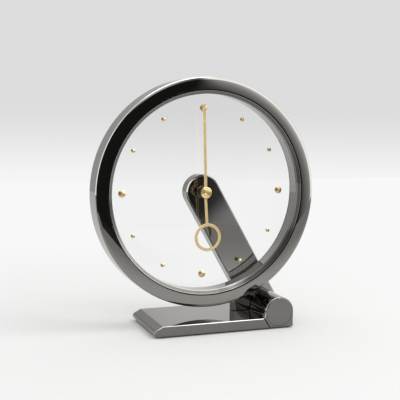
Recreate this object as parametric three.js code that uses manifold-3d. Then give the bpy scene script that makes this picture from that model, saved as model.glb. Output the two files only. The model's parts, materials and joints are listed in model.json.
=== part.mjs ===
// Table clock with a see-through dial: a ring-shaped case on a slanted arm that rises from a round
// battery barrel at the end of a flat base. Millimetres, +Z up, front towards -Y.
// The origin lies on the table, under the dial axis and at the middle of the base's depth.
import * as THREE from 'three';
import { mergeVertices } from 'three/addons/utils/BufferGeometryUtils.js';
import Module from 'manifold-3d';

const wasm = await Module();
wasm.setup();

// Clearances
const SEAT = 0.3;              // between a piece and what carries or locates it
const PRESS = 0.1;             // radial, where a hub grips its pipe or arbor
const LAYER = 0.4;             // axial, between turning wheels and plates
const PAD_GAP = 0.1;           // glue line between the pad and the base

// Facets around a full circle
const LARGE_ROUND = 64;
const MEDIUM_ROUND = 24;
const SMALL_ROUND = 12;
const NOSE_STEPS = 6;          // facets on a short arc

// Base plate
const BASE_DEPTH = 59.4;
const BASE_THICKNESS = 7.8;
const BASE_LEFT = 42;          // dial axis to the edge where the left slope starts
const NOSE_REACH = 6.3;        // that edge to the tip of the nose
const NOSE_RADIUS = 2.8;
const BASE_BEVEL = 0.5;
const PAD_THICKNESS = 1;
const PAD_INSET = 0.6;
const TIE_THICKNESS = 1;
const TIE_LEFT = 35;           // dial axis to the tie plate's left end
const TIE_RIGHT = 5.5;         // barrel axis to the tie plate's right end
const TIE_INSET = 6;           // from the base front
const TIE_DEPTH = 27;
const TIE_SCREW_INSET = 5;
const TIE_SCREW_BITE = 2;      // screw length above the tie plate

// Battery barrel
const BARREL_RADIUS = 11.55;
const BARREL_FLOOR = 0.4;      // lowest line of the barrel above the base bottom
const FOOT_REACH = 12.4;       // barrel axis to the foot's top left edge
const FOOT_TAPER = 5;          // how far the foot's left face leans in below that edge
const CELL_RADIUS = 7.25;
const CELL_LENGTH = 50.5;
const CELL_NUB_RADIUS = 2.7;
const CELL_NUB_LENGTH = 1.2;
const CELL_EDGE = 0.8;
const BORE_GAP = 0.4;
const SLEEVE_WALL = 1.6;       // thin rear part of the barrel that carries arm and cap
const DISC_RADIUS = 10.8;
const DISC_THICKNESS = 1.5;
const CONTACT_THICKNESS = 0.5;
const CONTACT_RADIUS = 5.5;
const SPRING_PLATE_THICKNESS = 0.7;
const SPRING_FOOT_RADIUS = 4.5; // spring's wide end, on its plate
const SPRING_TIP_RADIUS = 2.5;
const CAP_WALL = 1.5;
const CAP_EDGE = 0.8;

// Case ring
const RING_RADIUS = 87.5;
const RING_DEPTH = 18.4;
const RING_SETBACK = 19.5;     // base front to ring face
const BACK_EDGE = 0.5;         // chamfer of the ring's back edge
const FRONT_EDGE_WIDTH = 1.6;  // chamfer of its front edge, across the face
const FRONT_EDGE_DEPTH = 0.8;
const RING_TAPER = 0.4;        // the rim is this much smaller in front than at the back
const RING_BARREL_GAP = 4.85;
const FACE_WIDTH = 9.4;        // ring's outside to the front glass recess
const FACE_FALL = 0.4;         // how far the face curves back towards its outer edge
const FACE_STEPS = 3;
const GLASS_LEDGE = 3.5;       // radial width of the front glass shoulder
const GLASS_THICKNESS = 2;
const GLASS_SEAT_DEPTH = 4.4;  // ring face to the front glass shoulder
const RETAINER_WIDTH = 3.2;
const RETAINER_LIP = 0.4;
const DIAL_LEDGE = 1.8;        // radial width of the dial glass shoulder
const DIAL_GLASS_THICKNESS = 2;
const DIAL_RETAINER_WIDTH = 0.6;
const DIAL_RETAINER_THICKNESS = 0.8;
const REST_WIDTH = 13.2;       // ring rest, to the left of the barrel's foot
const REST_DEPTH = 7.8;

// Markers and hands
const MARKER_INSET = 10.7;     // ring's inner wall to the marker circle
const MARKER_HEIGHT = 1.2;
const MARKER_DOME = 0.5;
const DOME_SHOULDER = 0.6;     // share of a dome's radius where its edge turns down
const DOME_SHOULDER_DROP = 0.35; // share of its rise at that shoulder
const LARGE_MARKER_RADIUS = 2.8;
const SMALL_MARKER_RADIUS = 1.6;
const MINUTE_OVERREACH = 2.7;  // minute hand's tip beyond the marker circle
const MINUTE_WIDTH = 2.3;
const MINUTE_ANGLE = -1.8;     // degrees from twelve, clockwise
const HOUR_WIDTH = 2.1;
const HOUR_ANGLE = 176;
const HOUR_RING_CENTRE = 34.8;
const HOUR_RING_OUTER = 10.7;
const HOUR_RING_INNER = 8.5;
const HAND_THICKNESS = 0.6;
const HAND_GAP = 0.5;          // between the two hands
const HOUR_LIFT = 6.2;         // hour hand's back to the marker bases
const HUB_RADIUS = 3.4;
const CAP_RADIUS = 4.35;
const CAP_HEIGHT = 1;
const CAP_DOME = 0.3;

// Slanted arm
const ARM_LEAN = THREE.MathUtils.degToRad(29.65);
const ARM_HALF_WIDTH = 13.7;
const ARM_SIDE = 1.4;          // arm's centre line to the right of the dial and barrel axes
const ARM_DROP = 1.6;          // centre of the arm's round top below the dial axis
const ARM_DEPTH = 11.5;
const ARM_BEVEL = 1;
const ARM_WALL = 1.4;
const COVER_THICKNESS = 1.2;
const EYE_WALL = 3.4;          // solid arm beyond the barrel's sleeve
const COVER_BOSS_RADIUS = 2.2;
const BOSS_BITE = 0.8;         // how far a cover boss is let into the arm's wall
const SCREW_RADIUS = 1;
const SCREW_HEAD_RADIUS = 2;
const SCREW_HEAD = 0.9;
const SCREW_GRIP = 4.5;
const RING_SCREW_SPACING = 11;

// Movement
const GEAR_MODULE = 0.4;
const WHEEL_THICKNESS = 0.7;
const TOOTH_TIP = 0.13;        // half tooth widths, as shares of the pitch
const TOOTH_ROOT = 0.27;
const ADDENDUM = 0.75;         // in modules
const DEDENDUM = 1.15;
const CANNON_TEETH = 10;
const MOTION_TEETH = 30;
const MOTION_PINION_TEETH = 8;
const HOUR_TEETH = 32;
const CENTRE_TEETH = 32;
const THIRD_PINION_TEETH = 8;
const THIRD_TEETH = 30;
const FOURTH_PINION_TEETH = 8;
const FOURTH_TEETH = 30;
const ROTOR_PINION_TEETH = 8;
const MOTION_SIDE = THREE.MathUtils.degToRad(30); // motion arbor off the line to the barrel
const ARBOR_RADIUS = 0.8;
const PIVOT_RADIUS = 0.5;
const PIVOT_BITE = 0.6;
const PIPE_WALL = 0.7;
const BUSH_WALL = 1.7;
const BUSH_FLANGE = 0.8;
const BUSH_FLANGE_HEIGHT = 0.9;
const PLATE_THICKNESS = 0.8;
const PLATE_SIDE = 0.6;        // plate edge to the arm's inner wall
const PLATE_TOP = 5.8;         // dial axis to the plates' top edge
const PLATE_TAIL = 4.8;        // rotor axis to the plates' lower edge
const PILLAR_RADIUS = 1.2;
const PILLAR_SIDE = 8.2;
const PLATE_BOSS_RISE = 4.2;   // upper plate bosses above the dial axis
const ROTOR_RADIUS = 2.6;
const ROTOR_HEIGHT = 1.2;
const STATOR_THICKNESS = 0.8;
const STATOR_HALF_WIDTH = 9;
const STATOR_LEG = 3;
const STATOR_HEAD = 4;         // rotor axis to the stator's upper edge
const STATOR_LENGTH = 24;      // rotor axis to the far end of the legs
const CORE_THICKNESS = 1.2;
const COIL_RADIUS = 3;
const COIL_LENGTH = 10;
const BOARD_THICKNESS = 0.8;
const BOARD_LIFT = 1.4;
const BOARD_GAP = 3.4;         // from the stator legs and from the ring screws
const CHIP_SIZE = 6;
const CHIP_HEIGHT = 1.2;
const CRYSTAL_RADIUS = 1.5;
const CRYSTAL_LENGTH = 7;
const KNOB_RADIUS = 5.5;
const KNOB_HEIGHT = 3.4;
const KNOB_END = 0.5;          // closed end of the knob's bore
const KNOB_FLUTES = 20;
const KNOB_FLUTE_DEPTH = 0.5;

// Places that follow from these sizes
const baseFront = -BASE_DEPTH / 2;
const baseBottom = PAD_THICKNESS + PAD_GAP;
const baseTop = baseBottom + BASE_THICKNESS;
const armLength = RING_RADIUS + RING_BARREL_GAP + BARREL_RADIUS;
const barrelX = armLength * Math.sin(ARM_LEAN);
const barrelZ = baseBottom + BARREL_FLOOR + BARREL_RADIUS;
const dialZ = barrelZ + armLength * Math.cos(ARM_LEAN);
const ringFace = baseFront + RING_SETBACK;
const ringBack = ringFace + RING_DEPTH;
const rimFront = RING_RADIUS - RING_TAPER;
const ringRecess = RING_RADIUS - FACE_WIDTH;
const glassRadius = ringRecess - SEAT;
const ringInner = ringRecess - GLASS_LEDGE;
const glassShoulder = ringFace + GLASS_SEAT_DEPTH;
const glassFront = glassShoulder - SEAT - GLASS_THICKNESS;
const dialRecess = ringInner + DIAL_LEDGE;
const dialGlassRadius = dialRecess - SEAT;
const markerCircle = ringInner - MARKER_INSET;
const dialGlassBack = ringBack - DIAL_RETAINER_THICKNESS - SEAT;
const dialGlassFront = dialGlassBack - DIAL_GLASS_THICKNESS;
const dialShoulder = dialGlassFront - SEAT;
const markerBack = dialGlassFront - SEAT;
const hourHandBack = markerBack - HOUR_LIFT;
const hourHandFront = hourHandBack - HAND_THICKNESS;
const minuteHandBack = hourHandFront - HAND_GAP;
const minuteHandFront = minuteHandBack - HAND_THICKNESS;
const handCapBack = minuteHandFront - SEAT;
const handCapFront = handCapBack - CAP_HEIGHT;
const armFront = ringBack + SEAT;
const armBack = armFront + ARM_DEPTH;
const coverFront = armBack - COVER_THICKNESS;
const trayBack = coverFront - SEAT;
const trayFloor = armFront + ARM_WALL;
const trayHalfWidth = ARM_HALF_WIDTH - ARM_WALL;
const boreRadius = CELL_RADIUS + BORE_GAP;
const sleeveRadius = boreRadius + SLEEVE_WALL;
const eyeRadius = sleeveRadius + SEAT;
const trayEnd = armLength - eyeRadius - EYE_WALL;
const ringScrewDistance = (dialRecess + RING_RADIUS) / 2;
const discBack = baseFront + DISC_THICKNESS;
const contactBack = discBack + SEAT + CONTACT_THICKNESS;
const cellFront = contactBack + SEAT;
const cellBack = cellFront + CELL_LENGTH;
const capBack = -baseFront;
const capFloor = capBack - CAP_WALL;
const springPlateBack = capFloor - SEAT;
const springPlateFront = springPlateBack - SPRING_PLATE_THICKNESS;

// Wheel layers in the arm, from the tray floor to the back
const hourWheelFront = trayFloor + LAYER;
const motionWheelFront = hourWheelFront + WHEEL_THICKNESS + LAYER;
const frontPlateFront = motionWheelFront + WHEEL_THICKNESS + LAYER;
const frontPlateBack = frontPlateFront + PLATE_THICKNESS;
const centreWheelFront = frontPlateBack + LAYER;
const thirdWheelFront = centreWheelFront + WHEEL_THICKNESS + LAYER;
const fourthWheelFront = thirdWheelFront + WHEEL_THICKNESS + LAYER;
const backPlateFront = fourthWheelFront + WHEEL_THICKNESS + LAYER;
const backPlateBack = backPlateFront + PLATE_THICKNESS;
const stackBack = backPlateFront + PIVOT_BITE;

// Arbors, in the arm's own plane: x across the arm, z up along it, dial axis at 0, 0
const centreDistance = (teeth, pinionTeeth) => (GEAR_MODULE * (teeth + pinionTeeth)) / 2;
const thirdDrop = centreDistance(CENTRE_TEETH, THIRD_PINION_TEETH);
const fourthDrop = thirdDrop + centreDistance(THIRD_TEETH, FOURTH_PINION_TEETH);
const rotorDrop = fourthDrop + centreDistance(FOURTH_TEETH, ROTOR_PINION_TEETH);
const motionDistance = centreDistance(MOTION_TEETH, CANNON_TEETH);
const centreAt = [0, 0];
const motionAt = [motionDistance * Math.sin(MOTION_SIDE), -motionDistance * Math.cos(MOTION_SIDE)];
const thirdAt = [0, -thirdDrop];
const fourthAt = [0, -fourthDrop];
const rotorAt = [0, -rotorDrop];

const pipeInner = ARBOR_RADIUS + SEAT;
const pipeOuter = pipeInner + PIPE_WALL;
const bushInner = pipeOuter + SEAT;
const bushOuter = bushInner + BUSH_WALL;
const centreHole = bushOuter + SEAT;

// Materials, one maker for each finish
const finish = (color, roughness, metalness, more = {}) => () =>
  new THREE.MeshStandardMaterial({ color, roughness, metalness, ...more });
const darkChrome = finish(0x5a5654, 0.1, 1);
const gold = finish(0xcda85a, 0.2, 1);
const clearGlass = finish(0xf2f5f5, 0.03, 0, { transparent: true, opacity: 0.2 });
const steel = finish(0x9a9c9e, 0.3, 1);
const brass = finish(0xb58e46, 0.3, 1);
const blackRubber = finish(0x161616, 0.85, 0);
const blackPlastic = finish(0x1c1c1e, 0.5, 0);
const greenBoard = finish(0x2f5a3a, 0.5, 0);
const copper = finish(0xa85f32, 0.4, 1);
const cellJacket = finish(0x2c3a56, 0.35, 0.4);

// Solids: closed meshes in, closed meshes out
const MERGE = 1e-4;

function signedVolume(position, index) {
  const corner = [new THREE.Vector3(), new THREE.Vector3(), new THREE.Vector3()];
  let volume = 0;
  for (let i = 0; i < index.length; i += 3) {
    corner.forEach((point, k) => point.fromBufferAttribute(position, index[i + k]));
    volume += corner[0].dot(corner[1].cross(corner[2])) / 6;
  }
  return volume;
}

function toSolid(geometry) {
  const bare = geometry.clone();
  bare.deleteAttribute('normal');
  bare.deleteAttribute('uv');
  const merged = mergeVertices(bare, MERGE);
  const { position } = merged.attributes;
  const all = Array.from(merged.index.array);
  const index = [];
  for (let i = 0; i < all.length; i += 3) {
    const [a, b, c] = all.slice(i, i + 3);
    if (a !== b && b !== c && c !== a) index.push(a, b, c);
  }
  if (signedVolume(position, index) < 0) index.reverse();
  return new wasm.Manifold(new wasm.Mesh({
    numProp: 3,
    vertProperties: new Float32Array(position.array),
    triVerts: new Uint32Array(index),
  }));
}

function toGeometry(solid) {
  const mesh = solid.getMesh();
  const geometry = new THREE.BufferGeometry();
  geometry.setAttribute('position', new THREE.BufferAttribute(mesh.vertProperties, 3));
  geometry.setIndex(new THREE.BufferAttribute(mesh.triVerts, 1));
  geometry.computeVertexNormals();
  return geometry;
}

const combine = (method) => (first, ...others) =>
  toGeometry(others.reduce((solid, other) => solid[method](toSolid(other)), toSolid(first)));
const join = combine('add');
const cut = combine('subtract');
const common = combine('intersect');

// Forms: y runs along the dial axis, and shapes are drawn in x and z
const circle = (radius, x = 0, z = 0) => new THREE.Shape().absarc(x, z, radius, 0, 2 * Math.PI);
const polygon = (points) => new THREE.Shape(points.map(([x, z]) => new THREE.Vector2(x, z)));

function slab(shape, front, back, bevel = 0, arcSteps = NOSE_STEPS) {
  const geometry = new THREE.ExtrudeGeometry(shape, {
    depth: back - front - 2 * bevel,
    curveSegments: arcSteps / 2,
    bevelEnabled: bevel > 0,
    bevelThickness: bevel,
    bevelSize: bevel,
    bevelOffset: -bevel,
    bevelSegments: 1,
  });
  return geometry.rotateX(Math.PI / 2).translate(0, back - bevel, 0);
}

function box(left, right, front, back, low, high) {
  const geometry = new THREE.BoxGeometry(right - left, back - front, high - low);
  return geometry.translate((left + right) / 2, (front + back) / 2, (low + high) / 2);
}

function lathe(profile, round, [x, z] = centreAt) {
  const points = profile.map(([radius, y]) => new THREE.Vector2(radius, y));
  return new THREE.LatheGeometry(points, round).translate(x, 0, z);
}

const rod = (radius, front, back, at, round = SMALL_ROUND) =>
  lathe([[0, front], [radius, front], [radius, back], [0, back]], round, at);

const pipe = (inner, outer, front, back, round, at) =>
  lathe([[inner, front], [outer, front], [outer, back], [inner, back], [inner, front]], round, at);

function dome(radius, front, back, rise, round, at) {
  const shoulder = [radius * DOME_SHOULDER, front + rise * DOME_SHOULDER_DROP];
  return lathe([[0, front], shoulder, [radius, front + rise], [radius, back], [0, back]], round, at);
}

function add(group, name, geometry, material) {
  const mesh = new THREE.Mesh(toGeometry(toSolid(geometry)), material());
  mesh.name = name;
  group.add(mesh);
}

// Spur gears with straight-flanked teeth
function gear(teeth, front, [x, z], { towards, gap = false, back = front + WHEEL_THICKNESS }) {
  const pitch = (2 * Math.PI) / teeth;
  const pitchRadius = (GEAR_MODULE * teeth) / 2;
  const tip = pitchRadius + ADDENDUM * GEAR_MODULE;
  const root = pitchRadius - DEDENDUM * GEAR_MODULE;
  const start = Math.atan2(towards[1] - z, towards[0] - x) + (gap ? pitch / 2 : 0);
  const flank = [[root, -TOOTH_ROOT], [tip, -TOOTH_TIP], [tip, TOOTH_TIP], [root, TOOTH_ROOT]];
  const points = [];
  for (let tooth = 0; tooth < teeth; tooth += 1) {
    for (const [radius, share] of flank) {
      const angle = start + (tooth + share) * pitch;
      points.push([x + radius * Math.cos(angle), z + radius * Math.sin(angle)]);
    }
  }
  return slab(polygon(points), front, back);
}

const clock = new THREE.Group();
const dial = new THREE.Group();
const arm = new THREE.Group();
dial.position.z = dialZ;
arm.position.z = dialZ;
arm.rotation.y = -ARM_LEAN;
clock.add(dial, arm);

// A point of the arm's plane, seen in the dial's upright plane
const armToDial = ([x, z]) => [
  x * Math.cos(ARM_LEAN) - z * Math.sin(ARM_LEAN),
  x * Math.sin(ARM_LEAN) + z * Math.cos(ARM_LEAN),
];

// Base: plate with a rounded nose, tie plate and pad
function basePlateShape(right) {
  const noseX = -BASE_LEFT - NOSE_REACH + NOSE_RADIUS;
  const noseZ = baseBottom + NOSE_RADIUS;
  const reach = Math.hypot(-BASE_LEFT - noseX, baseTop - noseZ);
  const slope = Math.atan2(baseTop - noseZ, -BASE_LEFT - noseX);
  const shape = new THREE.Shape();
  shape.moveTo(right, baseTop);
  shape.lineTo(-BASE_LEFT, baseTop);
  shape.absarc(noseX, noseZ, NOSE_RADIUS, slope + Math.acos(NOSE_RADIUS / reach), 1.5 * Math.PI);
  shape.lineTo(right + FOOT_TAPER, baseBottom);
  return shape;
}

const baseRight = barrelX - FOOT_REACH - SEAT;
const tieFront = baseFront + TIE_INSET;
const tieBack = tieFront + TIE_DEPTH;
const tieBottom = baseBottom + SEAT;
const tieTop = tieBottom + TIE_THICKNESS;
const tieRight = barrelX + TIE_RIGHT;
const tiePocket = box(-TIE_LEFT - SEAT, tieRight + SEAT, tieFront - SEAT, tieBack + SEAT,
  baseBottom - SEAT, tieTop + SEAT);
const tieScrewTop = tieTop + SEAT + TIE_SCREW_BITE;

// Countersunk screw standing in z, grown all round by a clearance for its hole
function tieScrew([x, y], clearance) {
  const low = tieBottom - clearance;
  const high = tieScrewTop + clearance;
  const shank = SCREW_RADIUS + clearance;
  const profile = [[0, low], [SCREW_HEAD_RADIUS + clearance, low], [shank, tieTop - clearance],
    [shank, high], [0, high]];
  return lathe(profile, SMALL_ROUND).rotateX(Math.PI / 2).translate(x, y, 0);
}

const tieScrewX = [-TIE_LEFT + TIE_SCREW_INSET, tieRight - TIE_SCREW_INSET];
const tieScrewY = [tieFront + TIE_SCREW_INSET, tieBack - TIE_SCREW_INSET];
const tieScrewPlaces = tieScrewX.flatMap((x) => tieScrewY.map((y) => [x, y]));
const tieScrewHoles = tieScrewPlaces.map((place) => tieScrew(place, SEAT));

const basePlate = slab(basePlateShape(baseRight), baseFront, -baseFront, BASE_BEVEL);
add(clock, 'base_plate', cut(basePlate, tiePocket, ...tieScrewHoles), darkChrome);
const tiePlate = box(-TIE_LEFT, tieRight, tieFront, tieBack, tieBottom, tieTop);
add(clock, 'base_tie_plate', cut(tiePlate, ...tieScrewHoles), steel);
tieScrewPlaces.forEach((place, i) => {
  add(clock, `base_screw_${i + 1}`, tieScrew(place, 0), steel);
});
const padRight = barrelX + BARREL_RADIUS - PAD_INSET;
const padLeft = -BASE_LEFT - NOSE_REACH + NOSE_RADIUS + PAD_INSET;
const padBack = Math.min(-baseFront, armBack) - PAD_INSET;
add(clock, 'base_pad', box(padLeft, padRight, baseFront + PAD_INSET, padBack, 0, PAD_THICKNESS),
  blackRubber);

// Battery barrel: round housing with a foot, front disc, cell, contacts and pull-off cap
const barrelAt = [barrelX, barrelZ];

function housingShape() {
  const shape = new THREE.Shape();
  shape.moveTo(barrelX + BARREL_RADIUS, baseBottom);
  shape.lineTo(barrelX + BARREL_RADIUS, barrelZ);
  shape.absarc(barrelX, barrelZ, BARREL_RADIUS, 0, Math.PI);
  shape.lineTo(barrelX - FOOT_REACH, baseTop);
  shape.lineTo(barrelX - FOOT_REACH + FOOT_TAPER, baseBottom);
  return shape;
}

const housing = cut(
  join(
    slab(housingShape(), baseFront, ringBack, BASE_BEVEL, MEDIUM_ROUND / 2),
    rod(sleeveRadius, ringBack - SEAT, cellBack, barrelAt, MEDIUM_ROUND),
  ),
  rod(boreRadius, baseFront - SEAT, cellBack + SEAT, barrelAt, MEDIUM_ROUND),
  rod(DISC_RADIUS + PRESS, baseFront - SEAT, discBack + SEAT, barrelAt, MEDIUM_ROUND),
  tiePocket,
  ...tieScrewHoles,
);
add(clock, 'battery_housing', housing, darkChrome);
const barrelRod = (radius, front, back) => rod(radius, front, back, barrelAt, MEDIUM_ROUND);
add(clock, 'housing_front_disc', barrelRod(DISC_RADIUS, baseFront, discBack), darkChrome);
add(clock, 'contact_positive',
  barrelRod(CONTACT_RADIUS, contactBack - CONTACT_THICKNESS, contactBack), steel);
const springTip = cellBack + SEAT;
const springProfile = [
  [0, springTip],
  [SPRING_TIP_RADIUS, springTip],
  [SPRING_FOOT_RADIUS, springPlateFront],
  [CONTACT_RADIUS, springPlateFront],
  [CONTACT_RADIUS, springPlateBack],
  [0, springPlateBack],
];
add(clock, 'contact_negative', lathe(springProfile, SMALL_ROUND, barrelAt), steel);

const cellShoulder = cellFront + CELL_NUB_LENGTH;
const cellProfile = [
  [0, cellFront],
  [CELL_NUB_RADIUS, cellFront],
  [CELL_NUB_RADIUS, cellShoulder],
  [CELL_RADIUS - CELL_EDGE, cellShoulder],
  [CELL_RADIUS, cellShoulder + CELL_EDGE],
  [CELL_RADIUS, cellBack - CELL_EDGE],
  [CELL_RADIUS - CELL_EDGE, cellBack],
  [0, cellBack],
];
add(clock, 'battery', lathe(cellProfile, MEDIUM_ROUND, barrelAt), cellJacket);

const capMouth = armBack + SEAT;
const capProfile = [
  [0, capFloor],
  [eyeRadius, capFloor],
  [eyeRadius, capMouth],
  [BARREL_RADIUS, capMouth],
  [BARREL_RADIUS, capBack - CAP_EDGE],
  [BARREL_RADIUS - CAP_EDGE, capBack],
  [0, capBack],
];
add(clock, 'battery_cap', lathe(capProfile, MEDIUM_ROUND, barrelAt), darkChrome);

// Ring rest: block on the base, hollowed to the ring above it and to the barrel beside it
function ringRestShape() {
  const right = baseRight;
  const left = right - REST_WIDTH;
  const ringReach = RING_RADIUS + SEAT;
  const barrelReach = BARREL_RADIUS + SEAT;
  const nearest = Math.PI / 2 + ARM_LEAN;
  const leftAngle = -Math.acos(left / ringReach);
  const shape = new THREE.Shape();
  shape.moveTo(left, baseTop + SEAT);
  shape.lineTo(right, baseTop + SEAT);
  shape.absarc(barrelX, barrelZ, barrelReach, Math.PI, nearest, true);
  shape.absarc(0, dialZ, ringReach, ARM_LEAN - Math.PI / 2, leftAngle, true);
  return shape;
}

add(clock, 'ring_rest', slab(ringRestShape(), ringBack - REST_DEPTH, ringBack), darkChrome);

// Case ring: its face curves back outwards, and two stepped seats hold the glasses
const ringFacePoints = [];
for (let step = 0; step <= FACE_STEPS; step += 1) {
  const share = step / FACE_STEPS;
  ringFacePoints.push([
    ringRecess + share * (rimFront - FRONT_EDGE_WIDTH - ringRecess),
    ringFace + share * share * FACE_FALL,
  ]);
}
const ringProfile = [
  ringFacePoints[FACE_STEPS],
  [rimFront, ringFace + FACE_FALL + FRONT_EDGE_DEPTH],
  [RING_RADIUS, ringBack - BACK_EDGE],
  [RING_RADIUS - BACK_EDGE, ringBack],
  [dialRecess, ringBack],
  [dialRecess, dialShoulder],
  [ringInner, dialShoulder],
  [ringInner, glassShoulder],
  [ringRecess, glassShoulder],
  ...ringFacePoints,
];
const ringScrewPlaces = [-1, 1].map((side) => [(side * RING_SCREW_SPACING) / 2, -ringScrewDistance]);
const ringScrewFront = armFront - SEAT - SCREW_GRIP;
const ringHoles = ringScrewPlaces.map((place) =>
  rod(SCREW_RADIUS + SEAT, ringScrewFront - SEAT, ringBack + SEAT, armToDial(place)));
add(dial, 'case_ring', cut(lathe(ringProfile, LARGE_ROUND), ...ringHoles), darkChrome);
add(dial, 'front_glass',
  rod(glassRadius, glassFront, glassFront + GLASS_THICKNESS, centreAt, LARGE_ROUND), clearGlass);
const retainerBack = glassFront - SEAT;
const retainerProfile = [
  [glassRadius - RETAINER_LIP, ringFace],
  [glassRadius, ringFace],
  [glassRadius, retainerBack],
  [glassRadius - RETAINER_WIDTH, retainerBack],
  [glassRadius - RETAINER_LIP, ringFace],
];
add(dial, 'glass_retainer', lathe(retainerProfile, LARGE_ROUND), darkChrome);
add(dial, 'dial_glass',
  pipe(centreHole, dialGlassRadius, dialGlassFront, dialGlassBack, LARGE_ROUND), clearGlass);
add(dial, 'dial_retainer', pipe(dialGlassRadius - DIAL_RETAINER_WIDTH, dialGlassRadius,
  ringBack - DIAL_RETAINER_THICKNESS, ringBack, LARGE_ROUND), blackPlastic);

// Hour markers: domed studs, larger at the quarters
for (let hour = 1; hour <= 12; hour += 1) {
  const angle = (hour * Math.PI) / 6;
  const place = [markerCircle * Math.sin(angle), markerCircle * Math.cos(angle)];
  const radius = hour % 3 === 0 ? LARGE_MARKER_RADIUS : SMALL_MARKER_RADIUS;
  const stud = dome(radius, markerBack - MARKER_HEIGHT, markerBack, MARKER_DOME, SMALL_ROUND, place);
  add(dial, `marker_${String(hour).padStart(2, '0')}`, stud, gold);
}

// Hands on their pipe and arbor
const stick = (width, length, front, back) => box(-width / 2, width / 2, front, back, 0, length);

function hand(parts, hole, front, back, degrees) {
  const bore = rod(hole, front - SEAT, back + SEAT, centreAt, SMALL_ROUND);
  return cut(join(...parts), bore).rotateY(THREE.MathUtils.degToRad(degrees));
}

const minuteLength = markerCircle + MINUTE_OVERREACH;
const minuteParts = [stick(MINUTE_WIDTH, minuteLength, minuteHandFront, minuteHandBack),
  rod(HUB_RADIUS, minuteHandFront, minuteHandBack, centreAt, MEDIUM_ROUND)];
add(dial, 'minute_hand',
  hand(minuteParts, ARBOR_RADIUS + PRESS, minuteHandFront, minuteHandBack, MINUTE_ANGLE), gold);
const hourStickLength = HOUR_RING_CENTRE - (HOUR_RING_OUTER + HOUR_RING_INNER) / 2;
const hourParts = [stick(HOUR_WIDTH, hourStickLength, hourHandFront, hourHandBack),
  rod(HUB_RADIUS, hourHandFront, hourHandBack, centreAt, MEDIUM_ROUND),
  pipe(HOUR_RING_INNER, HOUR_RING_OUTER, hourHandFront, hourHandBack, MEDIUM_ROUND,
    [0, HOUR_RING_CENTRE])];
add(dial, 'hour_hand',
  hand(hourParts, pipeOuter + PRESS, hourHandFront, hourHandBack, HOUR_ANGLE), gold);
const capHole = rod(ARBOR_RADIUS + PRESS, handCapFront + CAP_DOME, handCapBack + SEAT);
add(dial, 'hand_cap',
  cut(dome(CAP_RADIUS, handCapFront, handCapBack, CAP_DOME, MEDIUM_ROUND), capHole), gold);

// Bush through the dial glass, screwed into the arm
const bushFront = markerBack - BUSH_FLANGE_HEIGHT;
const bushProfile = [
  [bushInner, bushFront],
  [bushOuter + BUSH_FLANGE, bushFront],
  [bushOuter + BUSH_FLANGE, markerBack],
  [bushOuter, markerBack],
  [bushOuter, trayFloor],
  [bushInner, trayFloor],
  [bushInner, bushFront],
];
add(dial, 'centre_bush', lathe(bushProfile, MEDIUM_ROUND), darkChrome);

// Arm: bevelled block split into a tray and a cover
function armShape(halfWidth, length) {
  const shape = new THREE.Shape();
  shape.moveTo(ARM_SIDE + halfWidth, -length);
  shape.lineTo(ARM_SIDE + halfWidth, -ARM_DROP);
  shape.absarc(ARM_SIDE, -ARM_DROP, halfWidth, 0, Math.PI);
  shape.lineTo(ARM_SIDE - halfWidth, -length);
  return shape;
}

const armOutline = armShape(ARM_HALF_WIDTH, armLength);
armOutline.absarc(ARM_SIDE, -armLength, ARM_HALF_WIDTH, Math.PI, 2 * Math.PI);
const armReach = 2 * armLength;
const belowBase = box(-armReach, armReach, armFront - SEAT, armBack + SEAT,
  -armReach, baseBottom - dialZ).rotateY(ARM_LEAN);
const armBlock = cut(
  slab(armOutline, armFront, armBack, ARM_BEVEL, MEDIUM_ROUND / 2),
  belowBase,
  rod(eyeRadius, armFront - SEAT, armBack + SEAT, [0, -armLength], MEDIUM_ROUND),
);
const armSlice = (front, back) => box(-armReach, armReach, front, back, -armReach, armReach);

const statorEnd = rotorDrop + STATOR_LENGTH;
const coverScrewDistance = statorEnd + SEAT + COVER_BOSS_RADIUS;
const coverScrewSide = trayHalfWidth - COVER_BOSS_RADIUS + BOSS_BITE;
const coverScrewPlaces = [[ARM_SIDE, coverScrewSide - ARM_DROP],
  [ARM_SIDE - coverScrewSide, -coverScrewDistance], [ARM_SIDE + coverScrewSide, -coverScrewDistance]];
const boardTop = coverScrewDistance + BOARD_GAP;
const boardEnd = ringScrewDistance - SCREW_HEAD_RADIUS - BOARD_GAP;
const boardFront = trayFloor + BOARD_LIFT;
const boardBossPlaces = [boardTop + BOARD_GAP, boardEnd - BOARD_GAP].map((drop) => [0, -drop]);
const plateBossPlaces = [PLATE_BOSS_RISE, -rotorDrop]
  .flatMap((z) => [[-PILLAR_SIDE, z], [PILLAR_SIDE, z]]);

const coverBoss = (place) => rod(COVER_BOSS_RADIUS, trayFloor - SEAT, trayBack, place);
const plateBoss = (place) => rod(PILLAR_RADIUS, trayFloor - SEAT, frontPlateFront - SEAT, place);
const boardBoss = (place) => rod(PILLAR_RADIUS, trayFloor - SEAT, boardFront - SEAT, place);
const trayHollow = slab(armShape(trayHalfWidth, trayEnd), trayFloor, armBack + SEAT,
  0, MEDIUM_ROUND / 2);
const coverHole = (place) => rod(SCREW_RADIUS + SEAT, trayBack - SCREW_GRIP, armBack + SEAT, place);
const tray = cut(
  join(
    cut(common(armBlock, armSlice(armFront - SEAT, trayBack)), trayHollow),
    ...coverScrewPlaces.map(coverBoss),
    ...plateBossPlaces.map(plateBoss),
    ...boardBossPlaces.map(boardBoss),
  ),
  rod(centreHole, armFront - SEAT, trayFloor + SEAT, centreAt, MEDIUM_ROUND),
  rod(PIVOT_RADIUS + SEAT, trayFloor - PIVOT_BITE - SEAT, trayFloor + SEAT, motionAt),
  ...ringScrewPlaces.map((place) =>
    rod(SCREW_RADIUS + SEAT, armFront - SEAT, trayFloor + SEAT, place)),
  ...coverScrewPlaces.map(coverHole),
);
add(arm, 'arm_housing', tray, darkChrome);
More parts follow.
